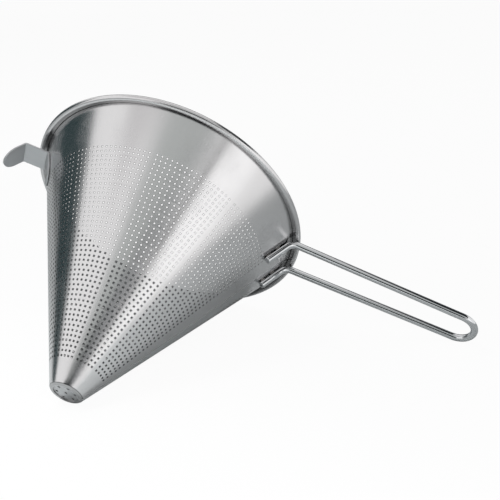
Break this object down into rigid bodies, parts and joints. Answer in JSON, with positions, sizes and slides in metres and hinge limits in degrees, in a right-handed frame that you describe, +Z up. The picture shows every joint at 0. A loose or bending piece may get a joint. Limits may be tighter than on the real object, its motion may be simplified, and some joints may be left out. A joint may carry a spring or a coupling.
{
  "type": "conical strainer",
  "caption": "Conical chinois strainer of perforated stainless sheet with a rolled rim, a long wire loop handle and a rest hook opposite it, lying on its side.",
  "frame": {"origin": "centre of the bounding box at the table, below the strainer as it lies on its side", "axes": "+Z is up from the table. +X follows the handle seen from above. The tip points towards -Y and the mouth opens towards +Y and up."},
  "size_m": [0.3282, 0.1964, 0.1755],
  "materials": {
    "brushed_sheet": "satin stainless sheet, brushed along the cone",
    "plain_wire": "drawn stainless wire",
    "ground_weld": "weld ground flush",
    "tip_sheet": "satin stainless sheet",
    "polished_wire": "polished stainless wire",
    "weld_metal": "raw weld nugget",
    "matte_strap": "matte stainless strap"
  },
  "bodies": {
    "root": {"cone_body": "brushed_sheet", "rim_wire": "plain_wire", "seam_weld": "ground_weld", "tip_disc": "tip_sheet", "handle_loop": "polished_wire", "handle_welds": "weld_metal", "hook_strap": "matte_strap", "hook_welds": "weld_metal"}
  },
  "joints": []
}
